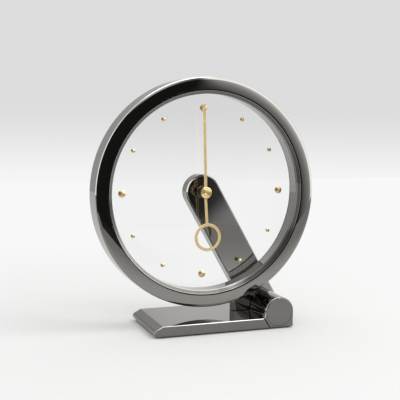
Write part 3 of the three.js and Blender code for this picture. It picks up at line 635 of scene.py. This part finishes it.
def dial_retainer():
    front, back = span("dial_retainer", Y)
    outer = half_width("dial_retainer")
    inner = outer - DIAL_RETAINER_WIDTH
    return soften(lathe("retainer", [(inner, front), (outer, front), (outer, back), (inner, back)]))


def glass_disc(node, hole):
    front, back = span(node, Y)
    radius = half_width(node)
    profile = [(hole, front), (radius - GLASS_EDGE, front), (radius, front + GLASS_EDGE),
               (radius, back - GLASS_EDGE), (radius - GLASS_EDGE, back), (hole, back)]
    return lathe("disc", profile)


stand_for(case_ring(), "case_ring")
stand_for(glass_retainer(), "glass_retainer")
stand_for(dial_retainer(), "dial_retainer")
for node, hole in (("front_glass", 0), ("dial_glass", BUSH_OUTER + SEAT)):
    glass = glass_disc(node, hole)
    stand_for(glass, node)
    glass.visible_diffuse = False
    glass.visible_glossy = False
    glass.visible_shadow = False


# Domed studs, hub cap and hands
def marker(node):
    """A disc whose front is an arc of a sphere."""
    front, back = span(node, Y)
    radius = half_width(node)
    ball = (radius * radius + MARKER_DOME * MARKER_DOME) / (2 * MARKER_DOME)
    reach = math.asin(radius / ball)
    profile = []
    for step in range(DOME_STEPS + 1):
        angle = reach * step / DOME_STEPS
        profile.append((ball * math.sin(angle), front + ball * (1 - math.cos(angle))))
    return lathe("dome", profile + [(radius, back), (0, back)], axis_of(node), SMALL_ROUND)


def hand_cap():
    front, back = span("hand_cap", Y)
    radius = half_width("hand_cap")
    profile = [(share * radius, front + depth * HAND_CAP_DOME) for share, depth in HAND_CAP_FACE]
    cap = lathe("cap", profile + [(radius, back), (0, back)], DIAL, FINE_ROUND)
    cut(cap, rod(ARBOR_RADIUS + PRESS, front + HAND_CAP_DOME, back + SEAT, DIAL))
    return soften(cap, SOFT_EDGE / 3)


def turned(points, angle):
    """Points of an upright hand, turned clockwise about the dial axis."""
    turn = Matrix.Rotation(-angle, 2)
    return [tuple(Vector(DIAL) + turn @ Vector(point)) for point in points]


def hand(node, width, length, angle):
    """A stick from the dial axis, with a round hub."""
    front, back = span(node, Y)
    outline = turned(rectangle(-width / 2, width / 2, 0, length), angle)
    stick = prism("stick", outline, front, back, HAND_BEVEL, HAND_BEVEL)
    return join(stick, prism("hub", circle(DIAL, HUB_RADIUS), front, back, HAND_BEVEL, HAND_BEVEL))


def minute_hand():
    front, back = span("minute_hand", Y)
    length = (span("minute_hand", Z)[1] - DIAL[1]) / math.cos(MINUTE_ANGLE)
    stick = hand("minute_hand", MINUTE_WIDTH, length, MINUTE_ANGLE)
    return cut(stick, rod(ARBOR_RADIUS + PRESS, front - SEAT, back + SEAT, DIAL))


def hour_hand():
    front, back = span("hour_hand", Y)
    ring_along = DIAL[1] - span("hour_hand", Z)[0] - HOUR_RING_OUTER
    length = ring_along - (HOUR_RING_OUTER + HOUR_RING_INNER) / 2
    stick = hand("hour_hand", HOUR_WIDTH, length, HOUR_ANGLE)
    centre = turned([(0, ring_along)], HOUR_ANGLE)[0]
    ring = prism("ring", circle(centre, HOUR_RING_OUTER), front, back, HAND_BEVEL, HAND_BEVEL)
    join(stick, cut(ring, rod(HOUR_RING_INNER, front - SEAT, back + SEAT, centre)))
    return cut(stick, rod(PIPE_RADIUS + PRESS, front - SEAT, back + SEAT, DIAL))


def centre_bush():
    front, back = span("centre_bush", Y)
    seat = front + BUSH_FLANGE_HEIGHT
    flange = BUSH_OUTER + BUSH_FLANGE
    profile = [(BUSH_INNER, front), (flange, front), (flange, seat), (BUSH_OUTER, seat),
               (BUSH_OUTER, back), (BUSH_INNER, back)]
    return soften(lathe("bush", profile, DIAL, FINE_ROUND))


for node in MARKERS:
    stand_for(marker(node), node, gold_with_painted_sheen)
stand_for(hand_cap(), "hand_cap", gold_with_painted_sheen)
stand_for(minute_hand(), "minute_hand", satin_gold)
stand_for(hour_hand(), "hour_hand", satin_gold)
stand_for(centre_bush(), "centre_bush")


# Base plate with a sloped nose, and the tie plate's pocket and screw holes below
def tie_cuts():
    return [block(node, SEAT) for node in ["base_tie_plate"] + BASE_SCREWS]


def base_plate():
    left, right = span("base_plate", X)
    top_right = right - FOOT_TAPER
    nose = (left + NOSE_RADIUS, base_bottom + NOSE_RADIUS)
    rise = base_top - nose[1]
    run = DIAL[0] - BASE_LEFT - nose[0]
    tangent = math.atan2(rise, run) + math.acos(NOSE_RADIUS / math.hypot(run, rise))
    outline = [(top_right, base_top), (DIAL[0] - BASE_LEFT, base_top)]
    outline += arc(nose, NOSE_RADIUS, tangent, 1.5 * math.pi, NOSE_STEPS)
    outline.append((right, base_bottom))
    plate = soften(prism("plate", outline, base_front, base_back, PLATE_BEVEL, PLATE_BEVEL))
    return cut(plate, *tie_cuts())


# Round barrel with a foot, and a thin sleeve at the back for the arm and the cap
def battery_housing():
    left, right = span("battery_housing", X)
    outline = arc(BARREL, barrel_radius, 0, math.pi, FINE_ROUND // 2)
    outline += [(left, base_top), (left + FOOT_TAPER, base_bottom), (right, base_bottom)]
    body = soften(prism("body", outline, base_front, ring_back, PLATE_BEVEL, PLATE_BEVEL))
    sleeve_back = span("battery_housing", Y)[1]
    join(body, rod(sleeve_radius, ring_back - SEAT, sleeve_back, BARREL))
    disc_back = span("housing_front_disc", Y)[1]
    recess = half_width("housing_front_disc") + PRESS
    return cut(body, rod(bore_radius, base_front - SEAT, sleeve_back + SEAT, BARREL),
               rod(recess, base_front - SEAT, disc_back + SEAT, BARREL), *tie_cuts())


def front_disc():
    front, back = span("housing_front_disc", Y)
    radius = half_width("housing_front_disc")
    return soften(rod(radius, front, back, BARREL), SOFT_EDGE * 2)


def battery_cap():
    mouth, back = span("battery_cap", Y)
    inside = back - CAP_FLOOR
    profile = [(0, inside), (eye_radius, inside), (eye_radius, mouth), (barrel_radius, mouth),
               (barrel_radius, back - CAP_EDGE), (barrel_radius - CAP_EDGE, back), (0, back)]
    return soften(lathe("cap", profile, BARREL, FINE_ROUND))


def base_pad():
    """A plate with round corners, drawn upright, then laid flat and mirrored front to back."""
    low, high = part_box("base_pad")
    left, right = low[X] + PAD_CORNER, high[X] - PAD_CORNER
    near, far = low[Y] + PAD_CORNER, high[Y] - PAD_CORNER
    outline = []
    for quarter, centre in enumerate(((right, far), (left, far), (left, near), (right, near))):
        start = quarter * math.pi / 2
        outline += arc(centre, PAD_CORNER, start, start + math.pi / 2, DOME_STEPS)
    pad = prism("pad", outline, -high[Z], -low[Z])
    pad.data.transform(Matrix.Rotation(-math.pi / 2, 4, "X"))
    pad.data.transform(Matrix.Scale(-1, 4, (0, 1, 0)))
    pad.data.flip_normals()
    return soften(pad)


# Block on the base, hollowed to the ring above it and to the barrel beside it
def ring_rest():
    base_right = span("base_plate", X)[1] - FOOT_TAPER
    left = base_right - REST_WIDTH
    ring_reach = ring_radius + SEAT
    outline = [(left, base_top + SEAT), (base_right, base_top + SEAT)]
    outline += arc(BARREL, barrel_radius + SEAT, math.pi, math.pi / 2 + arm_lean, NOSE_STEPS)
    outline += arc(DIAL, ring_reach, arm_lean - math.pi / 2,
                   -math.acos((left - DIAL[0]) / ring_reach), NOSE_STEPS)
    front, back = span("ring_rest", Y)
    return soften(prism("rest", outline, front, back))


stand_for(base_plate(), "base_plate", shaded_chrome)
stand_for(battery_housing(), "battery_housing", shaded_chrome)
stand_for(front_disc(), "housing_front_disc", shaded_chrome)
stand_for(battery_cap(), "battery_cap", shaded_chrome)
stand_for(base_pad(), "base_pad")
stand_for(ring_rest(), "ring_rest", shaded_chrome)


# Slanted arm: a bevelled tray and its cover, both with an eye for the barrel's sleeve
def arm_point(across, along):
    """A point of the arm's plane: across it, and up along it from the dial axis."""
    return tuple(Vector(DIAL) + arm_turn @ Vector((across, along)))


def arm_outline():
    """Round at both ends, and cut off level with the base below."""
    level = math.asin((base_bottom - arm_end.y) / arm_half_width)
    outline = arc(arm_top, arm_half_width, arm_lean, arm_lean + math.pi, FINE_ROUND // 2)
    outline += arc(arm_end, arm_half_width, arm_lean + math.pi, math.pi - level, NOSE_STEPS)
    outline += arc(arm_end, arm_half_width, math.tau + level, math.tau + arm_lean, NOSE_STEPS)
    return outline


def along_arm(place):
    return (arm_turn.inverted() @ (Vector(place) - Vector(DIAL))).y


def pivot(joint):
    x, _, z = joints[joint]["pos_m"]
    return (x, z)


def eye():
    return rod(eye_radius, arm_front - SEAT, arm_back + SEAT, BARREL)


def screw_holes():
    return [rod(SCREW_RADIUS + SEAT, tray_back - SCREW_HOLE_DEPTH, arm_back + SEAT, axis_of(screw))
            for screw in COVER_SCREWS]


def bosses():
    """On the tray's floor, for the cover's screws, the movement's front plate and the board."""
    plate_seat = span("front_plate", Y)[0] - SEAT
    board_seat = span("circuit_board", Y)[0] - SEAT
    ends = [(BOSS_RADIUS, tray_back, axis_of(screw)) for screw in COVER_SCREWS]
    for along in (PLATE_BOSS_RISE, along_arm(pivot("rotor_spin"))):
        for across in (-PILLAR_SIDE, PILLAR_SIDE):
            ends.append((PILLAR_RADIUS, plate_seat, arm_point(across, along)))
    board_top = along_arm(axis_of("cover_screw_2")) - BOARD_GAP
    board_end = along_arm(axis_of("ring_screw_1")) + half_width("ring_screw_1") + BOARD_GAP
    for along in (board_top - BOARD_GAP, board_end + BOARD_GAP):
        ends.append((PILLAR_RADIUS, board_seat, arm_point(0, along)))
    return [rod(radius, tray_floor - SEAT, end, place) for radius, end, place in ends]


def arm_housing():
    body = soften(prism("arm", arm_outline(), arm_front, tray_back, ARM_BEVEL))
    half = arm_half_width - ARM_WALL
    end = arm_length - eye_radius - EYE_WALL
    hollow = arc((ARM_SIDE, -ARM_DROP), half, 0, math.pi, FINE_ROUND // 2)
    hollow += [(ARM_SIDE - half, -end), (ARM_SIDE + half, -end)]
    hollow = [arm_point(across, along) for across, along in hollow]
    cut(body, prism("tool", hollow, tray_floor, arm_back), eye())
    join(body, *bosses())
    cut(body, rod(BUSH_OUTER + SEAT, arm_front - SEAT, tray_floor + SEAT, DIAL),
        rod(PIVOT_RADIUS + SEAT, tray_floor - PIVOT_BITE - SEAT, tray_floor + SEAT, pivot("motion_spin")))
    for screw in RING_SCREWS:
        cut(body, rod(SCREW_RADIUS + SEAT, arm_front - SEAT, tray_floor + SEAT, axis_of(screw)))
    return cut(body, *screw_holes())


def arm_cover():
    cover = soften(prism("cover", arm_outline(), cover_front, arm_back, 0, ARM_BEVEL))
    arbor_hole = rod(ARBOR_RADIUS + SEAT, cover_front - SEAT, arm_back + SEAT, DIAL)
    return cut(cover, eye(), arbor_hole, *screw_holes())


def cover_screw(node):
    """Pan head with a cross recess."""
    tip, head = span(node, Y)
    seat = head - SCREW_HEAD
    x, z = axis_of(node)
    radius = half_width(node)
    profile = [(0, tip), (SCREW_RADIUS, tip), (SCREW_RADIUS, seat), (radius, seat),
               (radius, head - SCREW_HEAD_EDGE), (radius - SCREW_HEAD_EDGE, head), (0, head)]
    screw = soften(lathe("screw", profile, (x, z), SMALL_ROUND), SOFT_EDGE / 2)
    long, short = SCREW_SLOT_REACH * radius, SCREW_SLOT_WIDTH / 2
    for across, along in ((long, short), (short, long)):
        slot = rectangle(x - across, x + across, z - along, z + along)
        cut(screw, prism("tool", slot, head - SCREW_SLOT_DEPTH, head + SEAT))
    return screw


def set_knob():
    """Knob with rounded flutes."""
    front, back = span("set_knob", Y)
    radius = half_width("set_knob")
    steps = KNOB_FLUTES * KNOB_FLUTE_STEPS
    outline = []
    for step in range(steps):
        angle = math.tau * step / steps
        dip = KNOB_FLUTE_DEPTH * (1 - math.cos(KNOB_FLUTES * angle)) / 2
        outline.append((DIAL[0] + (radius - dip) * math.cos(angle + arm_lean),
                        DIAL[1] + (radius - dip) * math.sin(angle + arm_lean)))
    knob = prism("knob", outline, front, back, SOFT_EDGE, KNOB_EDGE)
    return cut(knob, rod(ARBOR_RADIUS + PRESS, front - SEAT, back - KNOB_END, DIAL))


stand_for(arm_housing(), "arm_housing")
stand_for(arm_cover(), "arm_cover")
for screw in COVER_SCREWS:
    stand_for(cover_screw(screw), screw)
stand_for(set_knob(), "set_knob")


# Stage: pale floor that fades into the backdrop, and a studio for the metal to mirror
FLOOR_FRONT = -0.5
FLOOR_REACH = 1.2
FLOOR_FADE = (0.16, 0.48)    # distances over which the floor passes into the backdrop
FLOOR_DIM = (0.05, 0.34)     # and over which painted shade darkens its front part in the metal
DIMMED = 0.5                 # share of its colour left there
CORNER_SLANT = 0.74          # painted shade ends the mirrored floor along a slanted line left of its middle
CORNER = (0.36, 0.385)       # distance ahead plus the slanted share of x
CORNER_END = (0.05, 0.11)    # x
CORNER_DIM = 0.96
BACKDROP = 0.94
BACKDROP_TOP = 0.72
BACKDROP_RISE = (-0.107, 0.005)  # upward share of the view over which the one passes into the other
FILL = 0.85
KEY_PLACE = (1.0, -0.7, 1.5)
KEY_SIZE = 1.2
KEY_WATTS = 10.5
ONE_MIRROR = 1.5             # between the glossy depths of one mirror and of two


def kinds_of_ray(graph):
    """The ray's path, whether it met a mirror, and whether the camera sees it or glass lets it through."""
    path = graph.add("LightPath").outputs
    mirrored = graph.math("MINIMUM", path["Glossy Depth"], 1.0)
    seen = graph.math("MAXIMUM", path["Is Camera Ray"], path["Is Transmission Ray"])
    return path, mirrored, seen


def floor_paint():
    """Pale paint that turns into the backdrop far off, with painted shade over its front and a far corner
    that only the metal's mirrors show.
    """
    material, graph = graph_of("floor")
    _, mirrored, seen = kinds_of_ray(graph)
    place = graph.add("NewGeometry").outputs["Position"]
    axes = graph.add("SeparateXYZ", {0: place}).outputs
    ahead = graph.times(axes["Y"], -1.0)
    slanted = graph.plus(ahead, graph.times(axes["X"], CORNER_SLANT))
    corner = graph.times(graph.spread(slanted, 0.0, CORNER_DIM, *CORNER),
                         graph.spread(axes["X"], 1.0, 0.0, *CORNER_END))
    mirrored_shade = graph.math("MAXIMUM", corner, graph.spread(ahead, 0.0, 1.0 - DIMMED, *FLOOR_DIM))
    speckle = grain(graph, 4 * MM)
    paint = graph.blend(speckle, rgb(0.88, 0.88, 0.875), rgb(0.9, 0.9, 0.895))
    # painted shade, seen only in the metal's mirrors
    paint = graph.blend(graph.times(mirrored, mirrored_shade), paint, grey(0.0))
    near = graph.add("BsdfDiffuse", {"Color": paint}).outputs["BSDF"]
    beyond = graph.add("Emission", {"Strength": BACKDROP}).outputs["Emission"]
    distance = graph.add("VectorMath", {0: place}, operation="LENGTH").outputs["Value"]
    far = graph.times(seen, graph.math("SUBTRACT", 1.0, mirrored),
                      graph.spread(distance, 0.0, 1.0, *FLOOR_FADE))
    surface = graph.add("MixShader", {0: far, 1: near, 2: beyond}).outputs["Shader"]
    graph.add("OutputMaterial", {"Surface": surface})
    return material


def floor():
    outline = rectangle(-FLOOR_REACH, FLOOR_REACH, FLOOR_FRONT, FLOOR_REACH)
    mesh = bmesh.new()
    mesh.faces.new([mesh.verts.new((x, y, 0)) for x, y in outline])
    plane = new_piece("floor", mesh)
    plane.data.materials.append(floor_paint())


# What the metal mirrors. Levels around the room, by degrees from the front (-Y) towards +X
WALLS = ((-180, 0.54), (-150, 0.62), (-115, 0.72), (-98, 3.0), (-60, 3.0), (-52, 0.9), (-33, 0.6),
         (-25, 0.03), (22, 0.02), (85, 0.02), (108, 1.3), (126, 1.3), (140, 0.95), (161, 0.95),
         (168, 0.6), (180, 0.54))
# The right softbox has a slanted edge: levels by degrees to the side plus degrees of rise
SOFTBOX = ((20, 0.1), (27, 0.38), (32, 0.6), (36.5, 1.0), (41, 2.0), (46, 3.0))
SOFTBOX_EDGE = (19, 23)
SOFTBOX_END = (55, 80)       # and it ends by degrees to the side less degrees of rise
SOFTBOX_REST = 0.17          # share of its level left beyond that
SOFTBOX_LAST = (85, 115)     # degrees to the side where nothing of it is left
LEVEL_MAX = 3.0              # highest level in these two lists
PANEL = 0.42                 # low panel beside the softbox
PANEL_START = (27.3, 29.5)   # degrees to the side less degrees of rise
PANEL_END = (23.5, 26)       # degrees to the side
OVERHEAD = 2.4
OVERHEAD_RISE = (14, 62)
ZENITH = 3.5                 # more than that right above
ZENITH_RISE = (62, 76)
STRIP = 8.0                  # small bright light high on the right, for the upper front edges
STRIP_SIDE = ((41, 45), (62, 65))
STRIP_RISE = ((57, 59), (67.5, 69.5))
MIRRORED_TWICE = 0.15        # share of the overhead light left after two mirrors
SKYLIGHT = 1.1               # high in front of the clock
SKYLIGHT_START = (-46, -39)  # degrees to the side less degrees of rise
SKYLIGHT_END = (6, 20)       # degrees to the side
SKYLIGHT_RISE = ((15, 20), (52, 60))
SHADE = 0.4                  # share of the light left beside the skylight
SHADE_REACH = ((-84, -74), (-52, -44))  # degrees to the side less degrees of rise
SHADE_RISE = ((12, 20), (50, 58))


def ramp(graph, value, stops):
    """A level that changes along a value, from (degrees, level) stops."""
    start, end = stops[0][0], stops[-1][0]
    share = graph.add("MapRange", {"Value": value, "From Min": math.radians(start),
                                   "From Max": math.radians(end)}).outputs["Result"]
    node = graph.add("ValToRGB", {"Fac": share})
    elements = node.color_ramp.elements
    while len(elements) < len(stops):
        elements.new(1.0)
    for element, (degrees, level) in zip(elements, stops):
        element.position = (degrees - start) / (end - start)
        element.color = grey(level / LEVEL_MAX)
    return graph.times(node.outputs["Color"], LEVEL_MAX)


def fade(graph, value, low, high, edge):
    """Passes from low to high across a soft edge in degrees."""
    start, end = edge
    return graph.spread(value, low, high, math.radians(start), math.radians(end))


def window(graph, value, edges):
    """1 between two soft edges in degrees, and 0 outside."""
    first, last = edges
    return graph.times(fade(graph, value, 0.0, 1.0, first), fade(graph, value, 1.0, 0.0, last))


def mirrored_light(graph, side, rise, once):
    """Light from a direction to the side and upwards, as the metal mirrors it."""
    slant = graph.plus(side, rise)
    reach = graph.math("SUBTRACT", side, rise)
    softbox = graph.times(ramp(graph, slant, SOFTBOX),
                          fade(graph, side, 0.0, 1.0, SOFTBOX_EDGE),
                          fade(graph, reach, 1.0, SOFTBOX_REST, SOFTBOX_END),
                          fade(graph, side, 1.0, 0.0, SOFTBOX_LAST))
    panel = graph.times(fade(graph, reach, 0.0, PANEL, PANEL_START),
                        fade(graph, side, 1.0, 0.0, PANEL_END))
    skylight = graph.times(fade(graph, reach, 0.0, SKYLIGHT, SKYLIGHT_START),
                           fade(graph, side, 1.0, 0.0, SKYLIGHT_END),
                           window(graph, rise, SKYLIGHT_RISE))
    room = graph.plus(ramp(graph, side, WALLS), softbox, panel, skylight)
    strip = graph.times(window(graph, side, STRIP_SIDE), window(graph, rise, STRIP_RISE), STRIP)
    zenith = fade(graph, rise, 0.0, ZENITH, ZENITH_RISE)
    overhead = graph.times(graph.plus(strip, zenith, OVERHEAD),
                           graph.math("MAXIMUM", once, MIRRORED_TWICE))
    overhead = graph.plus(overhead, skylight)
    light = graph.blend(fade(graph, rise, 0.0, 1.0, OVERHEAD_RISE), room, overhead)
    shade = graph.times(window(graph, reach, SHADE_REACH), window(graph, rise, SHADE_RISE), 1.0 - SHADE)
    return graph.times(light, graph.math("SUBTRACT", 1.0, shade))


def studio():
    world = bpy.data.worlds.new("studio")
    bpy.context.scene.world = world
    world.use_nodes = True
    graph = Graph(world.node_tree)
    path, mirrored, seen = kinds_of_ray(graph)
    axes = graph.add("SeparateXYZ", {0: graph.add("TexCoord").outputs["Generated"]}).outputs
    side = graph.math("ARCTAN2", axes["X"], graph.times(axes["Y"], -1.0))
    rise = graph.math("ARCSINE", axes["Z"])
    once = graph.math("LESS_THAN", path["Glossy Depth"], ONE_MIRROR)
    backdrop = graph.spread(axes["Z"], BACKDROP, BACKDROP_TOP, *BACKDROP_RISE)
    level = graph.blend(seen, grey(FILL), backdrop)
    sharp = graph.times(path["Is Glossy Ray"], mirrored)
    level = graph.blend(sharp, level, mirrored_light(graph, side, rise, once))
    background = graph.add("Background", {"Color": level, "Strength": 1.0}).outputs["Background"]
    graph.add("OutputWorld", {"Surface": background})


def key_light():
    light = bpy.data.lights.new("key", "AREA")
    light.size = KEY_SIZE
    light.energy = KEY_WATTS
    thing = bpy.data.objects.new("key", light)
    thing.location = KEY_PLACE
    thing.rotation_euler = (-Vector(KEY_PLACE)).to_track_quat("-Z", "Y").to_euler()
    thing.visible_glossy = False
    thing.visible_camera = False
    bpy.context.scene.collection.objects.link(thing)


def camera():
    azimuth, elevation, roll = CAMERA_AZIMUTH, CAMERA_ELEVATION, CAMERA_ROLL
    back = Vector((math.sin(azimuth) * math.cos(elevation), -math.cos(azimuth) * math.cos(elevation),
                   math.sin(elevation)))
    level = Vector((math.cos(azimuth), math.sin(azimuth), 0))
    upright = back.cross(level)
    right = level * math.cos(roll) + upright * math.sin(roll)
    up = back.cross(right)
    data = bpy.data.cameras.new("camera")
    data.lens = CAMERA_LENS
    data.sensor_width = CAMERA_SENSOR
    data.clip_start = CAMERA_CLIP
    thing = bpy.data.objects.new("camera", data)
    thing.matrix_world = Matrix.Translation(CAMERA_PLACE) @ Matrix((right, up, back)).transposed().to_4x4()
    bpy.context.scene.collection.objects.link(thing)
    bpy.context.scene.camera = thing


floor()
studio()
key_light()
camera()
bpy.context.scene.view_settings.view_transform = "Standard"
